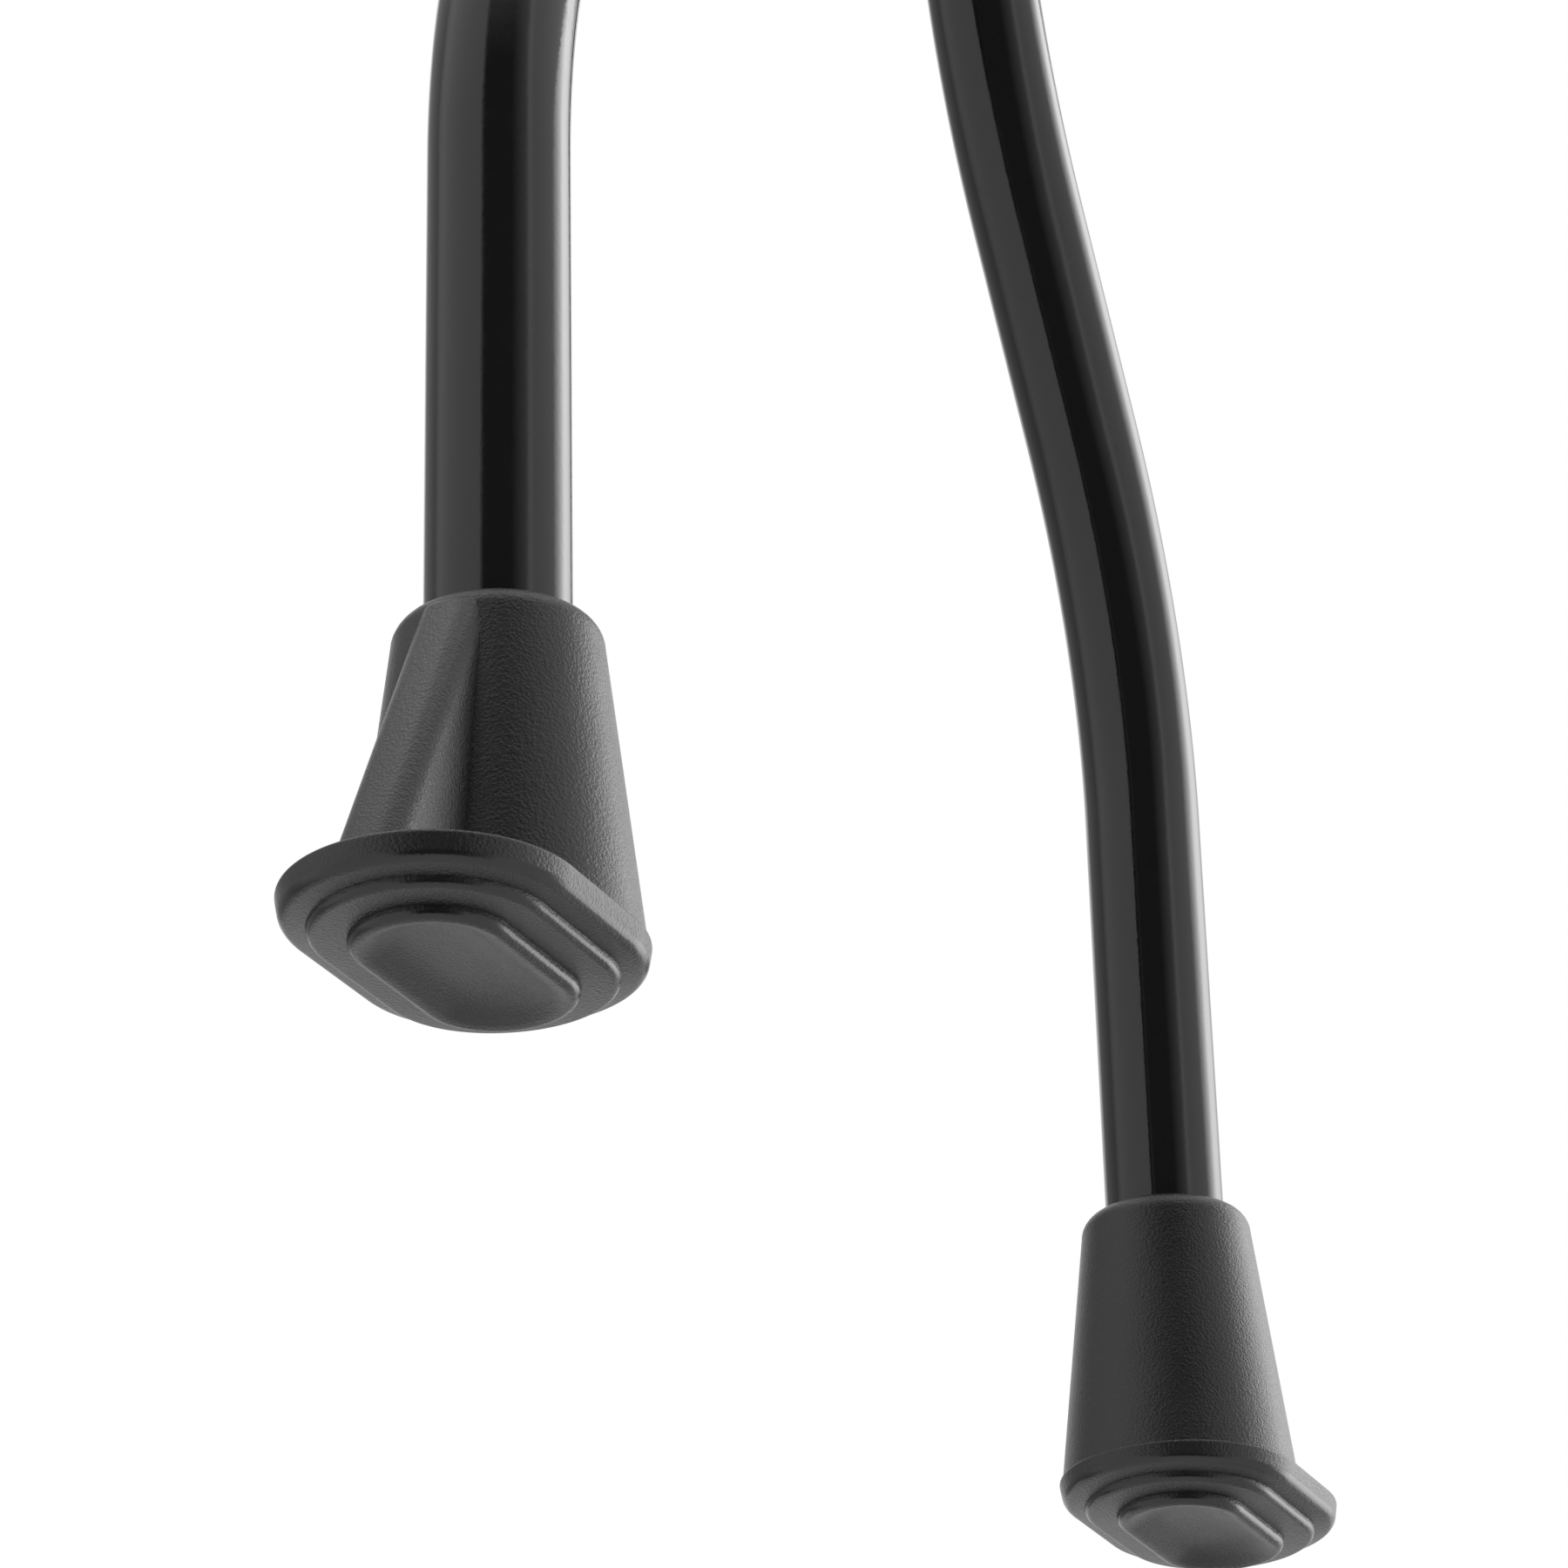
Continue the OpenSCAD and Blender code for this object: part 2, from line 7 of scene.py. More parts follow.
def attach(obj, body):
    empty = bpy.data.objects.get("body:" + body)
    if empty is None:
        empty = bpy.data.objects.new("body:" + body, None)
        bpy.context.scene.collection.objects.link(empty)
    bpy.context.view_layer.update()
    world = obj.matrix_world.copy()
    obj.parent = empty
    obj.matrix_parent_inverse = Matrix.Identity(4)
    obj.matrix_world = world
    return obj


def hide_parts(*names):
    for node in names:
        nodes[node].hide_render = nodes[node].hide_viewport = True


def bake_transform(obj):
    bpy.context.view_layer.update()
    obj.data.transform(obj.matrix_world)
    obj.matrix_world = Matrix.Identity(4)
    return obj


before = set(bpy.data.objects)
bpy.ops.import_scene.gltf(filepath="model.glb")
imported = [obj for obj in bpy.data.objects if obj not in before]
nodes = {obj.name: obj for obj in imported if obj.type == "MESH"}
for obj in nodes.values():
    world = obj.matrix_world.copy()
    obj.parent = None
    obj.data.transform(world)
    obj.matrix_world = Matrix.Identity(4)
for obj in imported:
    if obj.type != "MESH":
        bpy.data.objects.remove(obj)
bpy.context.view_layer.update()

scene = bpy.context.scene
scene.view_settings.view_transform = "Standard"


# small helpers for working in edit mode

def deselectAll():
    if bpy.context.mode != "OBJECT":
        bpy.ops.object.mode_set(mode="OBJECT")
    bpy.ops.object.select_all(action="DESELECT")


def pickOnly(piece):
    deselectAll()
    piece.select_set(True)
    bpy.context.view_layer.objects.active = piece


def openEdit(piece, mode="FACE"):
    pickOnly(piece)
    bpy.ops.object.mode_set(mode="EDIT")
    bpy.ops.mesh.select_mode(type=mode)


def closeEdit():
    bpy.ops.object.mode_set(mode="OBJECT")


def startChoice(piece, kind):
    bpy.ops.mesh.select_mode(type=kind)
    bpy.ops.mesh.select_all(action="DESELECT")
    return bmesh.from_edit_mesh(piece.data)


def endChoice(piece, mesh):
    mesh.select_flush_mode()
    bmesh.update_edit_mesh(piece.data)


def chooseVerts(piece, test):
    mesh = startChoice(piece, "VERT")
    for vert in mesh.verts:
        vert.select = test(vert.co)
    endChoice(piece, mesh)


def chooseEdges(piece, test):
    mesh = startChoice(piece, "EDGE")
    for edge in mesh.edges:
        edge.select = all(test(vert.co) for vert in edge.verts)
    endChoice(piece, mesh)


def chooseFaces(piece, test):
    mesh = startChoice(piece, "FACE")
    for face in mesh.faces:
        face.select = test(face.calc_center_median(), face.normal)
    endChoice(piece, mesh)


def extrudeBy(x, y, z):
    bpy.ops.mesh.extrude_region_move(TRANSFORM_OT_translate={"value": (x, y, z)})


def applyModifier(piece, kind, **settings):
    pickOnly(piece)
    modifier = piece.modifiers.new(kind.lower(), kind)
    for key, value in settings.items():
        setattr(modifier, key, value)
    bpy.ops.object.modifier_apply(modifier=modifier.name)


weldGap = 0.000005  # vertices closer than this become one


def faceOutward(piece):
    openEdit(piece)
    bpy.ops.mesh.select_all(action="SELECT")
    bpy.ops.mesh.remove_doubles(threshold=weldGap)
    bpy.ops.mesh.normals_make_consistent(inside=False)
    closeEdit()


def bakePlace(piece):
    pickOnly(piece)
    bpy.ops.object.transform_apply(location=True, rotation=True, scale=True)


def smoothByAngle(piece, limit):
    pickOnly(piece)
    bpy.ops.object.shade_smooth_by_angle(angle=radians(limit))


def mirrorCopy(piece, name):
    twin = piece.copy()
    twin.data = piece.data.copy()
    twin.name = name
    scene.collection.objects.link(twin)
    twin.scale.x = -1
    bakePlace(twin)
    faceOutward(twin)
    return twin


# camera at the photograph's place, under the soles and looking up

cameraValues = {
    "place": (-0.7514, -0.3279, -0.3089),
    "heading": -65.44,
    "pitch": 26.15,
    "roll": -1.41,
    "lens": 122.76,
    "sensor": 36,
    "clip": (0.01, 50),
}
bpy.ops.object.camera_add(location=cameraValues["place"])
camera = bpy.context.object
camera.matrix_world = (
    Matrix.Translation(cameraValues["place"])
    @ Matrix.Rotation(radians(cameraValues["heading"]), 4, "Z")
    @ Matrix.Rotation(radians(90 + cameraValues["pitch"]), 4, "X")
    @ Matrix.Rotation(radians(cameraValues["roll"]), 4, "Z")
)
camera.data.lens = cameraValues["lens"]
camera.data.sensor_width = cameraValues["sensor"]
camera.data.clip_start, camera.data.clip_end = cameraValues["clip"]
scene.camera = camera
print("camera set")


# materials

def nodeTree(name):
    material = bpy.data.materials.new(name)
    material.use_nodes = True
    tree = material.node_tree
    return material, tree, tree.nodes["Principled BSDF"]


def bareTree(name):
    material, tree, shader = nodeTree(name)
    tree.nodes.clear()
    return material, tree, tree.nodes.new("ShaderNodeOutputMaterial")


def addNode(tree, kind, **inputs):
    node = tree.nodes.new(kind)
    for key, value in inputs.items():
        node.inputs[key.replace("_", " ")].default_value = value
    return node


def mathNode(tree, operation, second=None):
    node = tree.nodes.new("ShaderNodeMath")
    node.operation = operation
    if second is not None:
        node.inputs[1].default_value = second
    return node


def rangeNode(tree, source, target):
    return addNode(tree, "ShaderNodeMapRange", From_Min=source[0], From_Max=source[1],
                   To_Min=target[0], To_Max=target[1])


def toneNode(tree, span, dark, light):
    node = tree.nodes.new("ShaderNodeValToRGB")
    for element, spot, tone in zip(node.color_ramp.elements, span, (dark, light)):
        element.position = spot
        element.color = (*tone, 1)
    return node


def grainGroup():
    # moulded grain: small soft cells broken up by a finer noise, and slow patches
    values = {"smoothness": 0.6, "finer": 2.1}
    group = bpy.data.node_groups.new("moulded grain", "ShaderNodeTree")
    for name, way, kind in (("Vector", "INPUT", "NodeSocketVector"),
                            ("Cell scale", "INPUT", "NodeSocketFloat"),
                            ("Patch scale", "INPUT", "NodeSocketFloat"),
                            ("Height", "OUTPUT", "NodeSocketFloat"),
                            ("Patches", "OUTPUT", "NodeSocketFloat")):
        group.interface.new_socket(name, in_out=way, socket_type=kind)
    source = group.nodes.new("NodeGroupInput")
    target = group.nodes.new("NodeGroupOutput")
    cells = group.nodes.new("ShaderNodeTexVoronoi")
    cells.feature = "SMOOTH_F1"
    cells.inputs["Smoothness"].default_value = values["smoothness"]
    fine = addNode(group, "ShaderNodeTexNoise", Detail=4.0, Roughness=0.6)
    fineScale = mathNode(group, "MULTIPLY", values["finer"])
    blend = mathNode(group, "ADD")
    patches = addNode(group, "ShaderNodeTexNoise", Detail=3.0, Roughness=0.55)
    link = group.links.new
    for texture in (cells, fine, patches):
        link(source.outputs["Vector"], texture.inputs["Vector"])
    link(source.outputs["Cell scale"], cells.inputs["Scale"])
    link(source.outputs["Cell scale"], fineScale.inputs[0])
    link(fineScale.outputs[0], fine.inputs["Scale"])
    link(source.outputs["Patch scale"], patches.inputs["Scale"])
    link(cells.outputs["Distance"], blend.inputs[0])
    link(fine.outputs["Fac"], blend.inputs[1])
    link(blend.outputs[0], target.inputs["Height"])
    link(patches.outputs["Fac"], target.inputs["Patches"])
    return group


grain = grainGroup()
patchSpan = (0.3, 0.75)  # patch noise that gives the two ends of tone and roughness


def rubEdges(tree, shader, rough, bump, values):
    # rubbed rims, known by how far they face down: less grain and a smoother surface
    rubbed = values["rubbed"]
    shape = addNode(tree, "ShaderNodeNewGeometry")
    split = addNode(tree, "ShaderNodeSeparateXYZ")
    down = mathNode(tree, "MULTIPLY", -1)
    rim = addNode(tree, "ShaderNodeValToRGB")
    elements = rim.color_ramp.elements
    elements[0].color = elements[1].color = (0, 0, 0, 1)
    for spot, light in rubbed["facing"]:
        elements.new(spot).color = (light, light, light, 1)
    smooth = mathNode(tree, "MULTIPLY")
    link = tree.links.new
    for socket, plain, worn in ((bump.inputs["Strength"], values["bump"], rubbed["bump"]),
                                (smooth.inputs[1], 1, rubbed["rough"])):
        share = rangeNode(tree, (0, 1), (plain, worn))
        link(rim.outputs["Color"], share.inputs["Value"])
        link(share.outputs["Result"], socket)
    link(shape.outputs["Normal"], split.inputs["Vector"])
    link(split.outputs["Z"], down.inputs[0])
    link(down.outputs[0], rim.inputs["Fac"])
    link(rough.outputs["Result"], smooth.inputs[0])
    link(smooth.outputs[0], shader.inputs["Roughness"])


def grainyMaterial(name, values):
    # rubber and plastics: grain in the bump, patches in colour and roughness
    material, tree, shader = nodeTree(name)
    coords = tree.nodes.new("ShaderNodeTexCoord")
    cells = tree.nodes.new("ShaderNodeGroup")
    cells.node_tree = grain
    cells.inputs["Cell scale"].default_value = values["cells"]
    cells.inputs["Patch scale"].default_value = values["patches"]
    tone = toneNode(tree, patchSpan, values["dark"], values["light"])
    rough = rangeNode(tree, patchSpan, values["rough"])
    bump = addNode(tree, "ShaderNodeBump", Strength=values["bump"], Distance=values["depth"])
    link = tree.links.new
    link(coords.outputs["Object"], cells.inputs["Vector"])
    link(cells.outputs["Patches"], tone.inputs["Fac"])
    link(cells.outputs["Patches"], rough.inputs["Value"])
    link(cells.outputs["Height"], bump.inputs["Height"])
    link(tone.outputs["Color"], shader.inputs["Base Color"])
    link(rough.outputs["Result"], shader.inputs["Roughness"])
    link(bump.outputs["Normal"], shader.inputs["Normal"])
    shader.inputs["Specular IOR Level"].default_value = values["specular"]
    if "rubbed" in values:
        rubEdges(tree, shader, rough, bump, values)
    return material


def glossPaint():
    # sprayed black gloss: faint orange peel, dust specks in the roughness
    values = {
        "peel": 700, "bump": 0.06, "depth": 0.0002,
        "dust": 260, "dustSpan": (0.4, 0.8), "rough": (0.07, 0.16),
        "dark": (0.0035, 0.0035, 0.0037), "light": (0.006, 0.006, 0.0062),
    }
    material, tree, shader = nodeTree("black gloss paint")
    coords = tree.nodes.new("ShaderNodeTexCoord")
    peel = addNode(tree, "ShaderNodeTexNoise", Scale=values["peel"], Detail=2.0, Roughness=0.5)
    dust = addNode(tree, "ShaderNodeTexNoise", Scale=values["dust"], Detail=6.0, Roughness=0.7)
    rough = rangeNode(tree, values["dustSpan"], values["rough"])
    tone = toneNode(tree, (0, 1), values["dark"], values["light"])
    bump = addNode(tree, "ShaderNodeBump", Strength=values["bump"], Distance=values["depth"])
    link = tree.links.new
    link(coords.outputs["Object"], peel.inputs["Vector"])
    link(coords.outputs["Object"], dust.inputs["Vector"])
    link(dust.outputs["Fac"], rough.inputs["Value"])
    link(dust.outputs["Fac"], tone.inputs["Fac"])
    link(peel.outputs["Fac"], bump.inputs["Height"])
    link(rough.outputs["Result"], shader.inputs["Roughness"])
    link(tone.outputs["Color"], shader.inputs["Base Color"])
    link(bump.outputs["Normal"], shader.inputs["Normal"])
    return material


def zincSteel():
    # plated steel: fine turned lines, cloudy plating
    values = {
        "lines": 900, "bump": 0.12, "depth": 0.0001,
        "clouds": 90, "cloudSpan": (0.3, 0.7), "rough": (0.24, 0.42),
        "dark": (0.5, 0.51, 0.53), "light": (0.68, 0.69, 0.7),
    }
    material, tree, shader = nodeTree("zinc plated steel")
    coords = tree.nodes.new("ShaderNodeTexCoord")
    clouds = addNode(tree, "ShaderNodeTexNoise", Scale=values["clouds"], Detail=5.0, Roughness=0.6)
    lines = addNode(tree, "ShaderNodeTexNoise", Scale=values["lines"], Detail=2.0, Roughness=0.5)
    tone = toneNode(tree, values["cloudSpan"], values["dark"], values["light"])
    rough = rangeNode(tree, (0, 1), values["rough"])
    bump = addNode(tree, "ShaderNodeBump", Strength=values["bump"], Distance=values["depth"])
    link = tree.links.new
    link(coords.outputs["Object"], clouds.inputs["Vector"])
    link(coords.outputs["Object"], lines.inputs["Vector"])
    link(clouds.outputs["Fac"], tone.inputs["Fac"])
    link(clouds.outputs["Fac"], rough.inputs["Value"])
    link(lines.outputs["Fac"], bump.inputs["Height"])
    link(tone.outputs["Color"], shader.inputs["Base Color"])
    link(rough.outputs["Result"], shader.inputs["Roughness"])
    link(bump.outputs["Normal"], shader.inputs["Normal"])
    shader.inputs["Metallic"].default_value = 1
    return material


paint = glossPaint()
steel = zincSteel()
footRubber = grainyMaterial("foot rubber", {
    "cells": 2000, "patches": 60, "dark": (0.004, 0.004, 0.0043), "light": (0.008, 0.008, 0.0084),
    "rough": (0.26, 0.33), "bump": 0.42, "depth": 0.0002, "specular": 0.5,
    "rubbed": {"facing": ((0.2, 0), (0.4, 1), (0.74, 1), (0.85, 0)), "bump": 0.1, "rough": 0.6},
})
gripRubber = grainyMaterial("grip rubber", {
    "cells": 1700, "patches": 50, "dark": (0.011, 0.011, 0.0116), "light": (0.02, 0.02, 0.021),
    "rough": (0.4, 0.52), "bump": 0.45, "depth": 0.0002, "specular": 0.45,
})
padRubber = grainyMaterial("soft pad rubber", {
    "cells": 900, "patches": 30, "dark": (0.012, 0.012, 0.0126), "light": (0.023, 0.023, 0.024),
    "rough": (0.42, 0.56), "bump": 0.6, "depth": 0.0004, "specular": 0.45,
})
blackPlastic = grainyMaterial("black moulded plastic", {
    "cells": 1900, "patches": 45, "dark": (0.016, 0.016, 0.017), "light": (0.023, 0.023, 0.024),
    "rough": (0.36, 0.44), "bump": 0.16, "depth": 0.0002, "specular": 0.5,
})
greyPlastic = grainyMaterial("grey nylon", {
    "cells": 2100, "patches": 45, "dark": (0.11, 0.11, 0.115), "light": (0.15, 0.15, 0.155),
    "rough": (0.4, 0.5), "bump": 0.12, "depth": 0.0002, "specular": 0.5,
})
print("materials made")


# rubber foot, modelled once with its toe to +X and mirrored for the other crutch

footValues = {
    "place": 0.134,         # tube axis, from the middle of the pair
    "height": 0.0603,
    "tubeRadius": 0.0111,
    "collarRadius": 0.0159,
    "shoulder": 0.004,      # round from the cone up to the lip at the tube
    "shoulderSteps": 9,
    "coneFoot": 0.0217,     # cone radius where it meets the plate
    "coneSink": 0.001,      # how far the cone starts inside the plate
    "soleRadius": 0.0223,
    "toeReach": 0.0194,
    "plateTop": 0.009,
    "plateLow": 0.0038,
    "stepLow": 0.002,
    "padLow": 0.0004,       # edge of the lowest face, a little above its contact ring
    "stepInset": (0.0045, 0.0058),
    "draft": (0.0007, 0.0003, 0.0002),    # how far each wall draws in on its way down
    "rimRise": (0.0008, 0.0003),          # the ledges rise towards their rims
    "edgeRound": {"plateTop": 0.0009, "plateLow": 0.0014, "step": 0.001, "pad": 0.0011},
    "edgeSteps": 7,
    "heelLift": 0.0008,     # the lower edges rise towards the heel
    # inset and rise of each ring inside the lowest face
    "dish": ((0.0014, -0.0003), (0.0012, 0.0003), (0.0016, 0.0009), (0.0018, 0.0007),
             (0.0018, 0.0003), (0.0018, 0.0001)),
    "rib": {"half": 0.0054, "toe": 0.0411, "head": 0.0162, "drop": 0.0022, "sink": 0.0012,
            "block": 0.01, "round": 0.0041, "roundSteps": 9, "headRound": 0.0012, "headSteps": 4},
    "bore": {"gap": 0.00012, "depth": 0.02, "round": 0.00025, "roundSteps": 3},
    "soleSides": 144,
    "coneSides": 160,
    "smooth": 32,
    # tolerances for finding edges and faces by their place
    "match": {"level": 0.00001, "lip": 0.00002, "rim": 0.00004, "rib": 0.0001, "outline": 0.0002},
}


def spineDistance(point):
    # distance from the line between the two round ends of the sole
    reach = min(max(point.x, 0), footValues["toeReach"])
    return ((point.x - reach) ** 2 + point.y ** 2) ** 0.5


def roundSoleEdge(sole, height, radius, width):
    match = footValues["match"]
    chooseEdges(sole, lambda co: abs(co.z - height) < match["rim"]
                and abs(spineDistance(co) - radius) < match["outline"])
    bpy.ops.mesh.bevel(offset=width, segments=footValues["edgeSteps"], profile=0.5,
                       affect="EDGES")


def drawIn(sole, height, radius, amount):
    # the flat outline at this height closes in about both round ends
    ratio = (radius - amount) / radius
    reach, match = footValues["toeReach"], footValues["match"]
    for centre, toeSide in ((0, False), (reach, True)):
        chooseVerts(sole, lambda co: abs(co.z - height) < match["level"]
                    and (co.x > reach / 2) == toeSide)
        bpy.ops.transform.resize(value=(ratio, ratio, 1), center_override=(centre, 0, height))
    chooseFaces(sole, lambda middle, normal: abs(middle.z - height) < match["level"])


def makeSole():
    values = footValues
    deselectAll()
    halfSide = radians(180 / values["soleSides"])  # turned by it, no corner lies at x = 0
    bpy.ops.mesh.primitive_circle_add(vertices=values["soleSides"], radius=values["soleRadius"],
                                      fill_type="NGON", location=(0, 0, values["plateTop"]),
                                      rotation=(0, 0, halfSide))
    sole = bpy.context.object
    bakePlace(sole)
    openEdit(sole, "VERT")
    chooseVerts(sole, lambda co: co.x > 0)
    bpy.ops.transform.translate(value=(values["toeReach"], 0, 0))
    chooseFaces(sole, lambda centre, normal: True)
    level, radius = values["plateTop"], values["soleRadius"]
    rims = []
    tiers = zip((values["plateLow"], values["stepLow"], values["padLow"]), values["draft"],
                (*values["rimRise"], 0), (*values["stepInset"], 0))
    for low, draft, rise, inset in tiers:  # plate, step and lowest face, going down
        extrudeBy(0, 0, low + rise - level)
        drawIn(sole, low + rise, radius, draft)
        rims.append((low + rise, radius - draft))
        if inset:
            bpy.ops.mesh.inset(thickness=inset - draft, depth=0)
            bpy.ops.transform.translate(value=(0, 0, -rise))
        level, radius = low, radius - inset
    for width, rise in values["dish"]:  # contact ring and shallow hollow of the lowest face
        bpy.ops.mesh.inset(thickness=width, depth=0)
        bpy.ops.transform.translate(value=(0, 0, rise))
    edges = values["edgeRound"]
    for (height, rim), edge in zip(rims, ("plateLow", "step", "pad")):
        roundSoleEdge(sole, height, rim, edges[edge])
    roundSoleEdge(sole, values["plateTop"], values["soleRadius"], edges["plateTop"])
    closeEdit()
    for vert in sole.data.vertices:
        if vert.co.x < 0:
            back = vert.co.x / values["soleRadius"]
            share = (values["plateTop"] - vert.co.z) / (values["plateTop"] - values["plateLow"])
            vert.co.z += values["heelLift"] * back * back * min(share, 1)
    faceOutward(sole)
    return sole


def scaleRing(ratio, height):
    bpy.ops.transform.resize(value=(ratio, ratio, 1), center_override=(0, 0, height))


def makeCone():
    values = footValues
    bore, match = values["bore"], values["match"]
    low = values["plateTop"] - values["coneSink"]
    top = values["height"] - values["shoulder"]
    deselectAll()
    bpy.ops.mesh.primitive_cone_add(vertices=values["coneSides"], radius1=values["coneFoot"],
                                    radius2=values["collarRadius"], depth=top - low,
                                    location=(0, 0, (top + low) / 2))
    cone = bpy.context.object
    bakePlace(cone)
    openEdit(cone)
    chooseFaces(cone, lambda centre, normal: abs(centre.z - top) < match["level"])
    core = values["collarRadius"] - values["shoulder"]
    radius, height = values["collarRadius"], top
    for step in range(1, values["shoulderSteps"] + 1):  # rounded shoulder, ring by ring
        angle = radians(90 * step / values["shoulderSteps"])
        nextRadius = core + values["shoulder"] * cos(angle)
        nextHeight = top + values["shoulder"] * sin(angle)
        extrudeBy(0, 0, nextHeight - height)
        scaleRing(nextRadius / radius, nextHeight)
        radius, height = nextRadius, nextHeight
    bpy.ops.mesh.inset(thickness=radius - values["tubeRadius"] - bore["gap"], depth=0)
    extrudeBy(0, 0, -bore["depth"])
    chooseEdges(cone, lambda co: abs(co.z - values["height"]) < match["lip"])
    bpy.ops.mesh.bevel(offset=bore["round"], segments=bore["roundSteps"], profile=0.5,
                       affect="EDGES")
    closeEdit()
    faceOutward(cone)
    return cone


def makeRib():
    # toe rib: a wedge from a cube, its two front edges and its head rounded
    values = footValues
    shape, match = values["rib"], values["match"]["rib"]
    low = values["plateTop"] - shape["sink"]
    high = values["height"] - shape["drop"]
    block, middle = shape["block"], (low + high) / 2
    front = block / 2
    deselectAll()
    bpy.ops.mesh.primitive_cube_add(size=1, location=(front, 0, middle))
    rib = bpy.context.object
    rib.dimensions = (block, 2 * shape["half"], high - low)
    bakePlace(rib)
    openEdit(rib, "VERT")
    chooseVerts(rib, lambda co: co.x > front and co.z < middle)
    bpy.ops.transform.translate(value=(shape["toe"] - block, 0, 0))
    chooseVerts(rib, lambda co: co.x > front and co.z > middle)
    bpy.ops.transform.translate(value=(shape["head"] - block, 0, 0))
    chooseEdges(rib, lambda co: co.x > front)
    mesh = bmesh.from_edit_mesh(rib.data)
    for edge in mesh.edges:
        if abs(edge.verts[0].co.z - edge.verts[1].co.z) < match:  # level edges stay sharp
            edge.select = False
    endChoice(rib, mesh)
    bpy.ops.mesh.bevel(offset=shape["round"], segments=shape["roundSteps"], profile=0.5,
                       affect="EDGES")
    chooseEdges(rib, lambda co: co.z > high - match and co.x > front)
    bpy.ops.mesh.bevel(offset=shape["headRound"], segments=shape["headSteps"], profile=0.5,
                       affect="EDGES")
    closeEdit()
    faceOutward(rib)
    return rib


def makeFoot():
    foot = makeCone()
    for tool in (makeSole(), makeRib()):
        applyModifier(foot, "BOOLEAN", operation="UNION", solver="EXACT", object=tool)
        bpy.data.objects.remove(tool)
    foot.location.x = footValues["place"]
    bakePlace(foot)
    faceOutward(foot)
    smoothByAngle(foot, footValues["smooth"])
    foot.data.materials.clear()
    foot.data.materials.append(footRubber)
    return foot


rightFoot = makeFoot()
rightFoot.name = "rightRubberFoot"
leftFoot = mirrorCopy(rightFoot, "leftRubberFoot")
smoothByAngle(leftFoot, footValues["smooth"])
for foot, side in ((rightFoot, "right"), (leftFoot, "left")):
    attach(foot, "lower_legs")
    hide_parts(side + "_rubber_foot")
print("rubber feet made", len(rightFoot.data.polygons), "faces each")


# bent leg tube: a ring pulled up through both bends

legValues = {
    "radius": footValues["tubeRadius"],
    "wall": 0.0013,
    "place": footValues["place"],
    "low": 0.016,
    "bendStart": 0.1425,
    "lean": 32,
    "lowBend": 0.144,
    "midRun": 0.044,
    "highBend": 0.157,
    "top": 0.60972,
    "bendSteps": 40,
    "sides": 128,
    "smooth": 40,
}


def makeLeg():
    values = legValues
    lean = radians(values["lean"])
    deselectAll()
    bpy.ops.mesh.primitive_circle_add(vertices=values["sides"], radius=values["radius"],
                                      fill_type="NOTHING",
                                      location=(values["place"], 0, values["low"]))
    leg = bpy.context.object
    bakePlace(leg)
    openEdit(leg, "EDGE")
    bpy.ops.mesh.select_all(action="SELECT")
    extrudeBy(0, 0, values["bendStart"] - values["low"])
    centre = Vector((values["place"] - values["lowBend"], 0, values["bendStart"]))
    bpy.ops.mesh.spin(steps=values["bendSteps"], angle=lean, center=centre, axis=(0, 1, 0))
    extrudeBy(-values["midRun"] * sin(lean), 0, values["midRun"] * cos(lean))
    endX = values["place"] - values["lowBend"] * (1 - cos(lean)) - values["midRun"] * sin(lean)
    endZ = values["bendStart"] + values["lowBend"] * sin(lean) + values["midRun"] * cos(lean)
    centre = Vector((endX + values["highBend"] * cos(lean), 0, endZ + values["highBend"] * sin(lean)))
    bpy.ops.mesh.spin(steps=values["bendSteps"], angle=lean, center=centre, axis=(0, -1, 0))
    extrudeBy(0, 0, values["top"] - centre.z)
    closeEdit()
    faceOutward(leg)
    applyModifier(leg, "SOLIDIFY", thickness=values["wall"], offset=-1)
    smoothByAngle(leg, values["smooth"])
    leg.data.materials.append(paint)
    return leg


rightLeg = makeLeg()
rightLeg.name = "rightLegTube"
leftLeg = mirrorCopy(rightLeg, "leftLegTube")
smoothByAngle(leftLeg, legValues["smooth"])
for leg, side in ((rightLeg, "right"), (leftLeg, "left")):
    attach(leg, "lower_legs")
    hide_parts(side + "_leg_tube")
print("leg tubes made", [tuple(round(v, 4) for v in corner) for corner in
                         (rightLeg.bound_box[0], rightLeg.bound_box[6])])


upperPlace = 0.064946  # axis of a crutch above its bends, from the middle of the pair


# underarm pad: a rounded block bent along the bow and blown up a little as foam

padValues = {
    "place": upperPlace,
    "bowCentre": 1.437303,
    "arc": 0.2535,          # radius of the pad's middle layer about the bow centre
    "width": 0.042,
    "height": 0.0305,
    "half": 0.1006,         # half its length along the arc
    "edge": 0.0095,
    "edgeSteps": 5,
    "crown": 0.1,           # radius of the crown across the top
    "waist": 0.0016,        # how far the sides draw in between the ends
    # cuts on either side of the middle, their pitch and direction
    "cuts": ((12, 0.007, Vector((0, 1, 0))), (3, 0.003, Vector((1, 0, 0)))),
    "voxel": 0.0045,
    "pressure": 4,
    "frames": 20,
    "cap": 0.0025,          # the foam moves no further than this
    "smoothing": {"factor": 0.5, "iterations": 4},
}


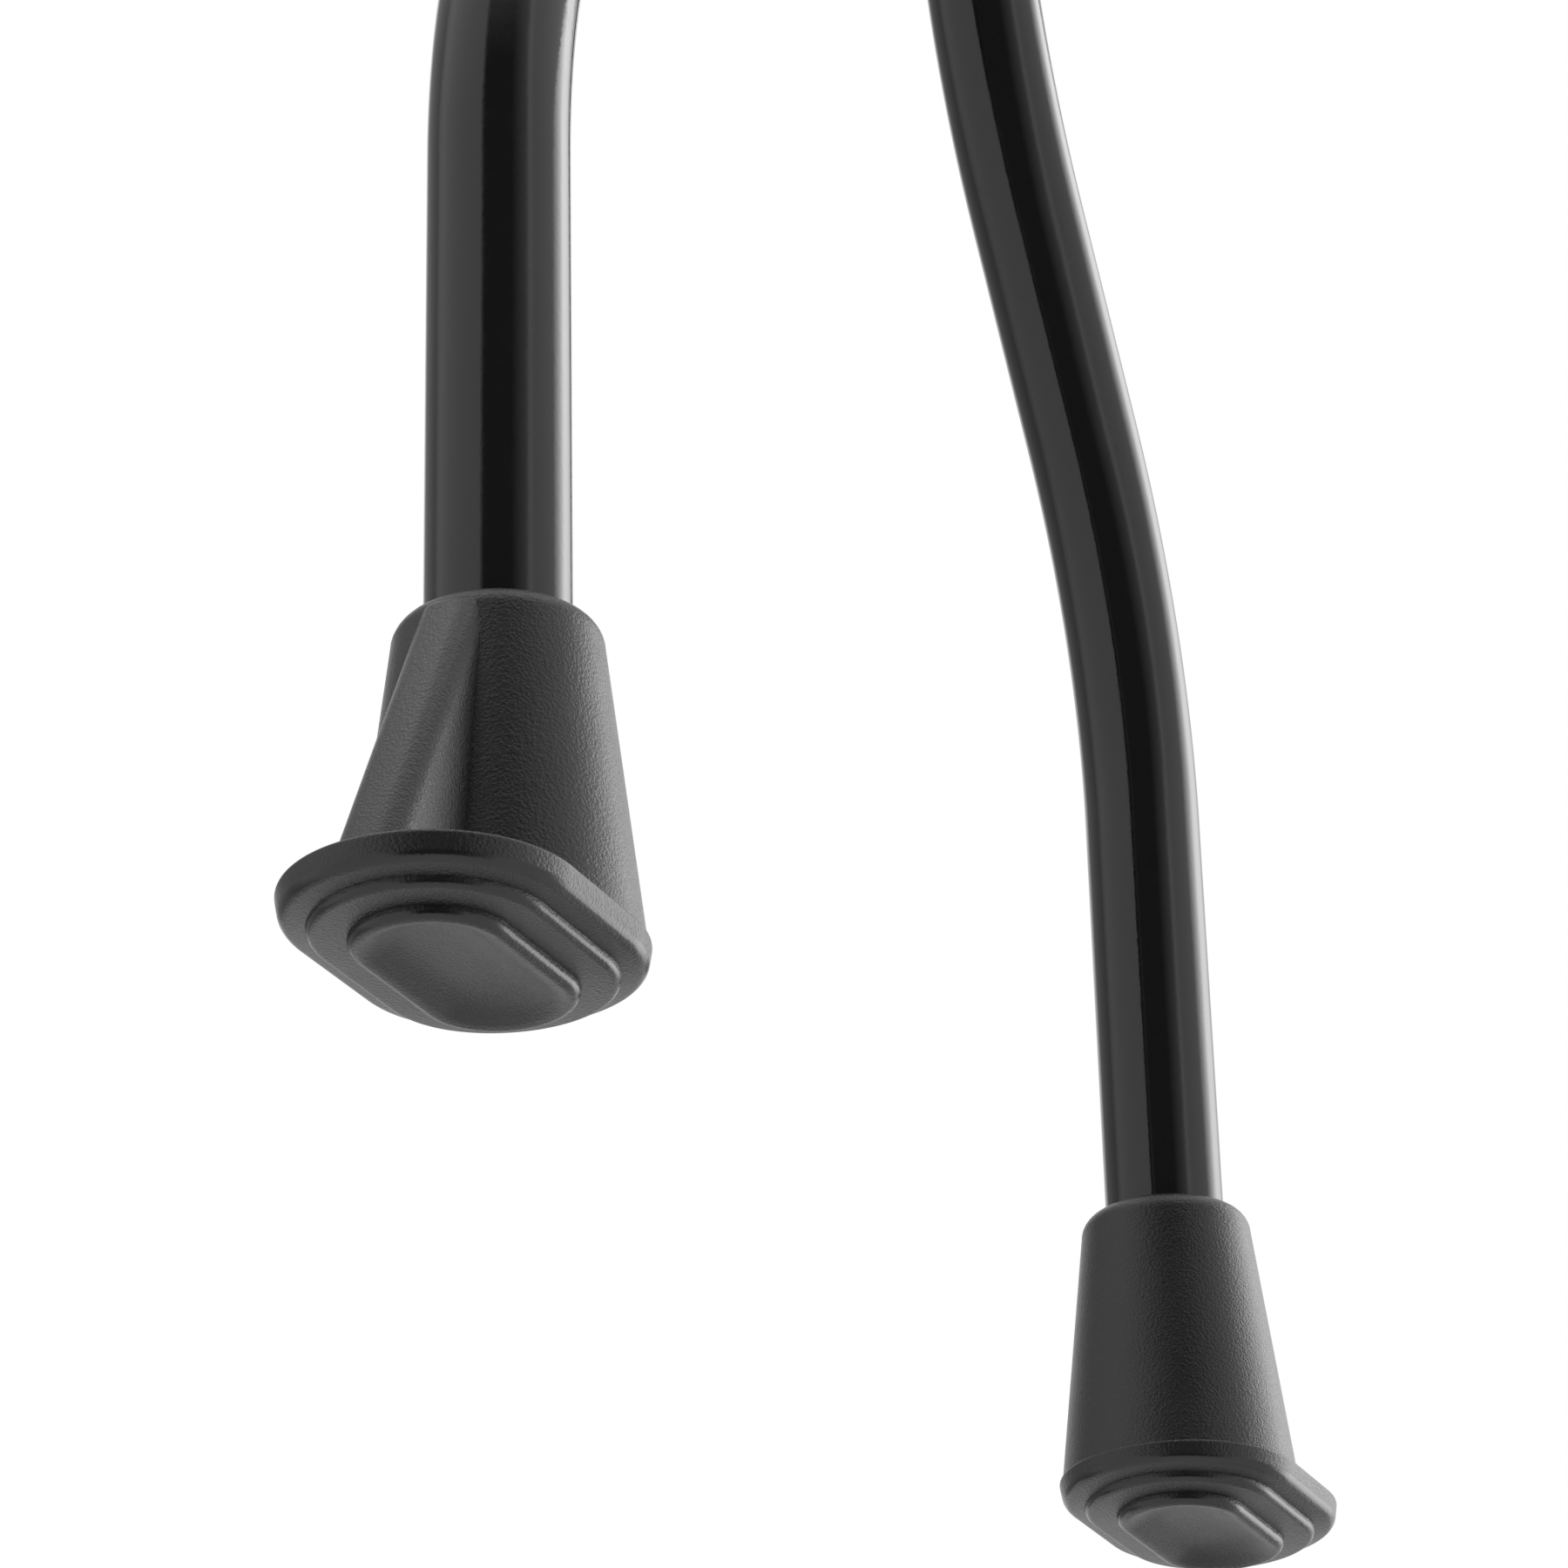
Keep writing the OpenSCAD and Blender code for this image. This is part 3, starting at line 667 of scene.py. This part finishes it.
def makePad():
    values = padValues
    deselectAll()
    bpy.ops.mesh.primitive_cube_add(size=1)
    pad = bpy.context.object
    pad.dimensions = (values["width"], 2 * values["half"], values["height"])
    bakePlace(pad)
    openEdit(pad, "EDGE")
    bpy.ops.mesh.select_all(action="SELECT")
    bpy.ops.mesh.bevel(offset=values["edge"], segments=values["edgeSteps"], profile=0.5,
                       affect="EDGES")
    for count, pitch, axis in values["cuts"]:
        for step in range(-count, count + 1):
            bpy.ops.mesh.select_all(action="SELECT")
            bpy.ops.mesh.bisect(plane_co=step * pitch * axis, plane_no=axis)
    closeEdit()
    for vert in pad.data.vertices:
        x, y, z = vert.co
        along = y / values["half"]
        x *= 1 - values["waist"] * 2 / values["width"] * (1 - along * along)
        z -= x * x / (2 * values["crown"]) * (0.5 + z / values["height"])
        angle = y / values["arc"]
        radius = values["arc"] - z
        vert.co = (x, radius * sin(angle), values["bowCentre"] - radius * cos(angle))
    applyModifier(pad, "REMESH", mode="VOXEL", voxel_size=values["voxel"])
    start = [vert.co.copy() for vert in pad.data.vertices]
    cloth = pad.modifiers.new("foam", "CLOTH")
    cloth.settings.use_pressure = True
    cloth.settings.uniform_pressure_force = values["pressure"]
    cloth.settings.effector_weights.gravity = 0
    for number in range(1, values["frames"] + 1):
        scene.frame_set(number)
    pickOnly(pad)
    bpy.ops.object.modifier_apply(modifier="foam")
    scene.frame_set(1)
    for vert, place in zip(pad.data.vertices, start):
        move = vert.co - place
        if move.length > values["cap"]:
            vert.co = place + move * (values["cap"] / move.length)
    applyModifier(pad, "SMOOTH", **values["smoothing"])
    applyModifier(pad, "SUBSURF", levels=1, render_levels=1)
    pickOnly(pad)
    bpy.ops.object.shade_smooth()
    pad.data.materials.clear()
    pad.data.materials.append(padRubber)
    return pad


rightPad = makePad()
rightPad.name = "rightUnderarmPad"
rightPad.location.x = padValues["place"]
bakePlace(rightPad)
leftPad = mirrorCopy(rightPad, "leftUnderarmPad")
for pad, side in ((rightPad, "right"), (leftPad, "left")):
    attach(pad, side + "_upper")
    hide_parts(side + "_underarm_pad")
print("underarm pads made", len(rightPad.data.polygons), "faces each")


# hand grip: a ring drawn out along the bolt, swelling for the palm, with shallow finger rings

gripValues = {
    "place": upperPlace,
    "height": 0.820927,
    "half": 0.0515,
    "bore": 0.0065,
    "flange": 0.0169,
    "flangeWidth": 0.0045,
    "round": 0.002,         # both edges of the flange
    "roundSteps": 4,
    "neck": 0.0085,         # from the end face to the first ring
    "waist": 0.0142,
    "swell": 0.0024,
    "swellPower": 1.5,
    "ring": 0.0006,
    "ringPower": 0.6,
    "rings": 11,
    "ringSteps": 10,
    "sides": 96,
    "smooth": 40,
}


def gripProfile():
    # distance along the bolt and radius, from one end face to the other
    values = gripValues
    half, flange, edge = values["half"], values["flange"], values["round"]
    wide, turns = values["flangeWidth"], values["roundSteps"]
    points = [(-half, values["bore"]), (-half, flange - edge)]
    for step in range(1, turns + 1):
        angle = radians(90 * step / turns)
        points.append((-half + edge * (1 - cos(angle)), flange - edge + edge * sin(angle)))
    points.append((-half + wide, flange))
    for step in range(1, turns + 1):
        angle = radians(90 * step / turns)
        points.append((-half + wide + edge * sin(angle), flange - edge * (1 - cos(angle))))
    farEnd = [(-along, radius) for along, radius in reversed(points)]
    inner = half - values["neck"]
    count = values["rings"] * values["ringSteps"]
    for step in range(count + 1):
        share = -1 + 2 * step / count
        palm = values["waist"] + values["swell"] * cos(share * pi / 2) ** values["swellPower"]
        wave = 0.5 - 0.5 * cos(2 * pi * values["rings"] * step / count)
        ridge = values["ring"] * wave ** values["ringPower"]
        points.append((share * inner, palm - values["ring"] + ridge))
    return points + farEnd


def makeGrip():
    values = gripValues
    points = gripProfile()
    centre = (values["place"], values["height"])
    deselectAll()
    bpy.ops.mesh.primitive_circle_add(vertices=values["sides"], radius=points[0][1],
                                      fill_type="NOTHING",
                                      location=(centre[0], points[0][0], centre[1]),
                                      rotation=(radians(90), 0, 0))
    grip = bpy.context.object
    bakePlace(grip)
    openEdit(grip, "EDGE")
    bpy.ops.mesh.select_all(action="SELECT")
    for (fromY, fromRadius), (toY, toRadius) in zip(points, points[1:] + points[:1]):
        ratio = toRadius / fromRadius
        extrudeBy(0, toY - fromY, 0)
        bpy.ops.transform.resize(value=(ratio, 1, ratio),
                                 center_override=(centre[0], toY, centre[1]))
    closeEdit()
    faceOutward(grip)
    smoothByAngle(grip, values["smooth"])
    grip.data.materials.append(gripRubber)
    return grip


rightGrip = makeGrip()
rightGrip.name = "rightHandGrip"
leftGrip = mirrorCopy(rightGrip, "leftHandGrip")
smoothByAngle(leftGrip, gripValues["smooth"])
for grip, side in ((rightGrip, "right"), (leftGrip, "left")):
    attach(grip, side + "_grip")
    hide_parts(side + "_hand_grip")
print("hand grips made", len(rightGrip.data.polygons), "faces each")


# hairpin spring inside the leg tube: an edge drawn along the hairpin, then given its thickness

springValues = {
    "place": upperPlace,
    "height": 0.58372,      # middle of the button
    "width": 0.008,
    "thickness": 0.0008,
    "seat": 0.0054,         # face under the button, from the tube axis
    "seatHalf": 0.004,
    "back": -0.00855,
    "tail": 0.006,
    "nose": (-0.0012, -0.0443, 0.0006),    # middle and radius of the bend at the lower end
    "armSteps": 12,
    "noseSteps": 6,
    "smooth": 40,
}


def springPath():
    values = springValues
    noseX, noseZ, noseRadius = values["nose"]
    front, back = values["seat"], values["back"]
    low = -values["seatHalf"]
    arm, turns = values["armSteps"], values["noseSteps"]
    points = [(front, values["seatHalf"]), (front, 0), (front, low)]
    for step in range(1, arm + 1):
        share = step / (arm + 1)
        points.append((front + (noseX + noseRadius - front) * share, low + (noseZ - low) * share))
    for step in range(turns + 1):
        angle = radians(-180 * step / turns)
        points.append((noseX + noseRadius * cos(angle), noseZ + noseRadius * sin(angle)))
    for step in range(1, arm + 1):
        share = step / arm
        points.append((noseX - noseRadius + (back - noseX + noseRadius) * share,
                       noseZ + (low - noseZ) * share))
    return points + [(back, 0), (back, values["tail"])]


def makeSpring():
    values = springValues
    points = springPath()
    deselectAll()
    middle = values["place"] + points[0][0] + values["width"] / 2
    bpy.ops.mesh.primitive_plane_add(size=values["width"],
                                     location=(middle, 0, values["height"] + points[0][1]))
    spring = bpy.context.object
    bakePlace(spring)
    openEdit(spring, "VERT")
    chooseVerts(spring, lambda co: co.x > middle)  # all but the edge under the button go
    bpy.ops.mesh.delete(type="VERT")
    bpy.ops.mesh.select_mode(type="EDGE")
    bpy.ops.mesh.select_all(action="SELECT")
    for (fromX, fromZ), (toX, toZ) in zip(points, points[1:]):
        extrudeBy(toX - fromX, 0, toZ - fromZ)
    closeEdit()
    faceOutward(spring)
    applyModifier(spring, "SOLIDIFY", thickness=values["thickness"], offset=0, use_even_offset=True)
    faceOutward(spring)
    smoothByAngle(spring, values["smooth"])
    spring.data.materials.append(steel)
    return spring


rightSpring = makeSpring()
rightSpring.name = "rightSnapSpring"
leftSpring = mirrorCopy(rightSpring, "leftSnapSpring")
smoothByAngle(leftSpring, springValues["smooth"])
for spring, side, sign in ((rightSpring, "right", 1), (leftSpring, "left", -1)):
    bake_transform(spring)
    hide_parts(side + "_snap_spring")
print("snap springs made", len(rightSpring.data.polygons), "faces each")


# finishes of the pieces that keep their solids, steel where none is named

finishes = {
    "leg_sleeve": paint, "front_upright": paint, "rear_upright": paint,
    "leg_guide": greyPlastic, "sleeve_bush": greyPlastic, "grip_washers": greyPlastic,
    "sleeve_cap": blackPlastic, "lower_yoke": blackPlastic, "upper_yoke": blackPlastic,
    "upright_plugs": blackPlastic, "saddle_core": blackPlastic,
}
for name, node in nodes.items():
    piece = name.split("_", 1)[1]
    node.data.materials.clear()
    node.data.materials.append(finishes.get(piece, steel))
print("finishes set on", len(nodes), "nodes")


# studio: floor, world, flags, card and lamps

floorValues = {"size": 60, "drop": 0.0006, "colour": (0.9, 0.9, 0.9, 1)}


def makeFloor():
    # seen by the camera from above alone, so the soles show from below
    deselectAll()
    bpy.ops.mesh.primitive_plane_add(size=floorValues["size"],
                                     location=(0, 0, -floorValues["drop"]))
    floor = bpy.context.object
    floor.name = "floor"
    bakePlace(floor)
    material, tree, out = bareTree("pale floor")
    clear = addNode(tree, "ShaderNodeBsdfTransparent")
    pale = addNode(tree, "ShaderNodeBsdfDiffuse", Color=floorValues["colour"])
    path = addNode(tree, "ShaderNodeLightPath")
    side = addNode(tree, "ShaderNodeNewGeometry")
    top = mathNode(tree, "SUBTRACT")
    top.inputs[0].default_value = 1
    seen = mathNode(tree, "MULTIPLY")
    mix = addNode(tree, "ShaderNodeMixShader")
    link = tree.links.new
    link(side.outputs["Backfacing"], top.inputs[1])
    link(top.outputs[0], seen.inputs[0])
    link(path.outputs["Is Camera Ray"], seen.inputs[1])
    link(seen.outputs[0], mix.inputs["Fac"])
    link(clear.outputs[0], mix.inputs[1])
    link(pale.outputs[0], mix.inputs[2])
    link(mix.outputs[0], out.inputs["Surface"])
    floor.data.materials.append(material)


worldValues = {"colour": (1, 1, 1, 1), "fill": 0.9}


def makeWorld():
    # white all round, for the camera and for what the gloss shows
    world = bpy.data.worlds.new("white studio")
    scene.world = world
    world.use_nodes = True
    tree = world.node_tree
    back = tree.nodes["Background"]
    back.inputs["Color"].default_value = worldValues["colour"]
    path = tree.nodes.new("ShaderNodeLightPath")
    seen = mathNode(tree, "ADD")
    either = mathNode(tree, "ADD")
    either.use_clamp = True
    shown = tree.nodes.new("ShaderNodeMix")
    shown.data_type = "FLOAT"
    shown.inputs[2].default_value = worldValues["fill"]
    shown.inputs[3].default_value = 1
    link = tree.links.new
    link(path.outputs["Is Camera Ray"], seen.inputs[0])
    link(path.outputs["Is Glossy Ray"], seen.inputs[1])
    link(seen.outputs[0], either.inputs[0])
    link(path.outputs["Is Transmission Ray"], either.inputs[1])
    link(either.outputs[0], shown.inputs[0])
    link(shown.outputs[0], back.inputs["Strength"])


flagValues = {
    "middle": (0, 0, 0.15),
    "radius": 3,
    "segments": 120,
    "rings": 60,
    "heading": cameraValues["heading"],    # the dark screen stands behind the camera
    # degrees from the camera's back, brightness, cover
    "stops": ((-160, 0.9, 0), (-148, 0.42, 1), (-108, 0.42, 1), (-92, 0.9, 0), (-26, 0.8, 0),
              (-25, 0.7, 1), (-20, 0.07, 1), (22, 0.07, 1), (44, 0.56, 1), (51, 1.33, 1),
              (62, 0.95, 0)),
    "open": 0.9,            # brightness where there is no screen
    "screens": ((-158, -93), (-26, 61)),
    "low": -0.7,
    "fade": (0.66, 0.97),
}


def flagAngle(spot):
    turned = Matrix.Rotation(radians(-flagValues["heading"]), 4, "Z") @ Vector(spot)
    return degrees(atan2(turned.x, -turned.y))


def makeFlags():
    # two curved studio screens; the dark one behind the camera makes the tubes' dark band
    values = flagValues
    deselectAll()
    bpy.ops.mesh.primitive_uv_sphere_add(segments=values["segments"], ring_count=values["rings"],
                                         radius=values["radius"], location=values["middle"])
    flags = bpy.context.object
    flags.name = "studio_flags"
    openEdit(flags)

    def spare(centre, normal):
        height = centre.z / values["radius"]
        bearing = flagAngle(centre)
        inside = any(low < bearing < high for low, high in values["screens"])
        return not inside or height < values["low"] or height > values["fade"][1]

    chooseFaces(flags, spare)
    bpy.ops.mesh.delete(type="FACE")
    closeEdit()
    bakePlace(flags)
    material, tree, out = bareTree("studio flag")
    coords = addNode(tree, "ShaderNodeTexCoord")
    scale = 1 / values["radius"]
    centre = addNode(tree, "ShaderNodeMapping", Scale=[scale] * 3,
                     Location=[-part / values["radius"] for part in values["middle"]])
    turn = addNode(tree, "ShaderNodeMapping", Rotation=(0, 0, -radians(values["heading"])))
    split = addNode(tree, "ShaderNodeSeparateXYZ")
    flip = mathNode(tree, "MULTIPLY", -1)
    bearing = mathNode(tree, "ARCTAN2")
    share = rangeNode(tree, (-pi, pi), (0, 1))
    ring = addNode(tree, "ShaderNodeValToRGB")
    elements = ring.color_ramp.elements
    elements[0].color = elements[1].color = (*[values["open"]] * 3, 0)
    for spot, light, cover in values["stops"]:
        elements.new((spot + 180) / 360).color = (light, light, light, cover)
    tilt = mathNode(tree, "ABSOLUTE")
    fade = rangeNode(tree, values["fade"], (1, 0))
    cover = mathNode(tree, "MULTIPLY")
    clear = addNode(tree, "ShaderNodeBsdfTransparent")
    glow = addNode(tree, "ShaderNodeEmission")
    mix = addNode(tree, "ShaderNodeMixShader")
    link = tree.links.new
    link(coords.outputs["Object"], centre.inputs["Vector"])
    link(centre.outputs["Vector"], turn.inputs["Vector"])
    link(turn.outputs["Vector"], split.inputs["Vector"])
    link(split.outputs["Y"], flip.inputs[0])
    link(split.outputs["X"], bearing.inputs[0])
    link(flip.outputs[0], bearing.inputs[1])
    link(bearing.outputs[0], share.inputs["Value"])
    link(share.outputs["Result"], ring.inputs["Fac"])
    link(split.outputs["Z"], tilt.inputs[0])
    link(tilt.outputs[0], fade.inputs["Value"])
    link(ring.outputs["Alpha"], cover.inputs[0])
    link(fade.outputs["Result"], cover.inputs[1])
    link(ring.outputs["Color"], glow.inputs["Color"])
    link(cover.outputs[0], mix.inputs["Fac"])
    link(clear.outputs[0], mix.inputs[1])
    link(glow.outputs[0], mix.inputs[2])
    link(mix.outputs[0], out.inputs["Surface"])
    flags.data.materials.append(material)
    # they show in the gloss alone and put no shade on the floor
    flags.visible_camera = flags.visible_diffuse = flags.visible_shadow = False


cardValues = {
    "place": (1.7, 0.85, -0.9),
    "size": 2.6,
    "left": (-0.416, 0.909, 0),     # to the left of the photograph, in plan
    "span": (-0.55, 0.65),
    "light": (0.45, 1.2),           # brightness at the two ends of the span
}


def makeCard():
    # grey card under and behind the pair, seen by the soles alone
    values = cardValues
    deselectAll()
    bpy.ops.mesh.primitive_plane_add(size=values["size"], location=values["place"])
    card = bpy.context.object
    card.name = "grey_card"
    bakePlace(card)
    material, tree, out = bareTree("grey card")
    coords = addNode(tree, "ShaderNodeTexCoord")
    across = addNode(tree, "ShaderNodeVectorMath")
    across.operation = "DOT_PRODUCT"
    across.inputs[1].default_value = values["left"]
    light = rangeNode(tree, values["span"], values["light"])
    glow = addNode(tree, "ShaderNodeEmission")
    link = tree.links.new
    link(coords.outputs["Object"], across.inputs[0])
    link(across.outputs["Value"], light.inputs["Value"])
    link(light.outputs["Result"], glow.inputs["Strength"])
    link(glow.outputs[0], out.inputs["Surface"])
    card.data.materials.append(material)
    card.visible_camera = card.visible_diffuse = card.visible_shadow = False


lampValues = {
    "rim softbox": {"place": (1.352, -0.841, 0.35), "target": (0.0, 0.0, 0.15),
                    "size": (1.69, 1.9), "power": 40, "soft": True},
    "top softbox": {"place": (0.0, 0.0, 3.2), "target": (0.0, 0.0, 0.0),
                    "size": (2.6, 2.6), "power": 16, "soft": False},
}


def softenLamp(lamp):
    # brightest in the middle and dark at both sides, so its edge in the gloss is soft
    lamp.data.use_nodes = True
    tree = lamp.data.node_tree
    place = addNode(tree, "ShaderNodeNewGeometry")
    split = addNode(tree, "ShaderNodeSeparateXYZ")
    across = addNode(tree, "ShaderNodeValToRGB")
    elements = across.color_ramp.elements
    elements[0].color = elements[1].color = (0, 0, 0, 1)
    elements.new(0.5).color = (1, 1, 1, 1)
    link = tree.links.new
    link(place.outputs["Parametric"], split.inputs["Vector"])
    link(split.outputs["X"], across.inputs["Fac"])
    link(across.outputs["Color"], tree.nodes["Emission"].inputs["Strength"])


def makeLamp(name):
    values = lampValues[name]
    bpy.ops.object.light_add(type="AREA", location=values["place"])
    lamp = bpy.context.object
    lamp.name = name
    lamp.data.shape = "RECTANGLE"
    lamp.data.size, lamp.data.size_y = values["size"]
    lamp.data.energy = values["power"]
    lamp.visible_camera = False
    if values["soft"]:
        softenLamp(lamp)
        lamp.visible_diffuse = False  # its edge would draw a line on the floor
    aim = Vector(values["target"]) - Vector(values["place"])
    lamp.rotation_euler = aim.to_track_quat("-Z", "Y").to_euler()


makeFloor()
makeWorld()
makeFlags()
makeCard()
for lampName in lampValues:
    makeLamp(lampName)
print("floor, world, flags, card and lamps set")
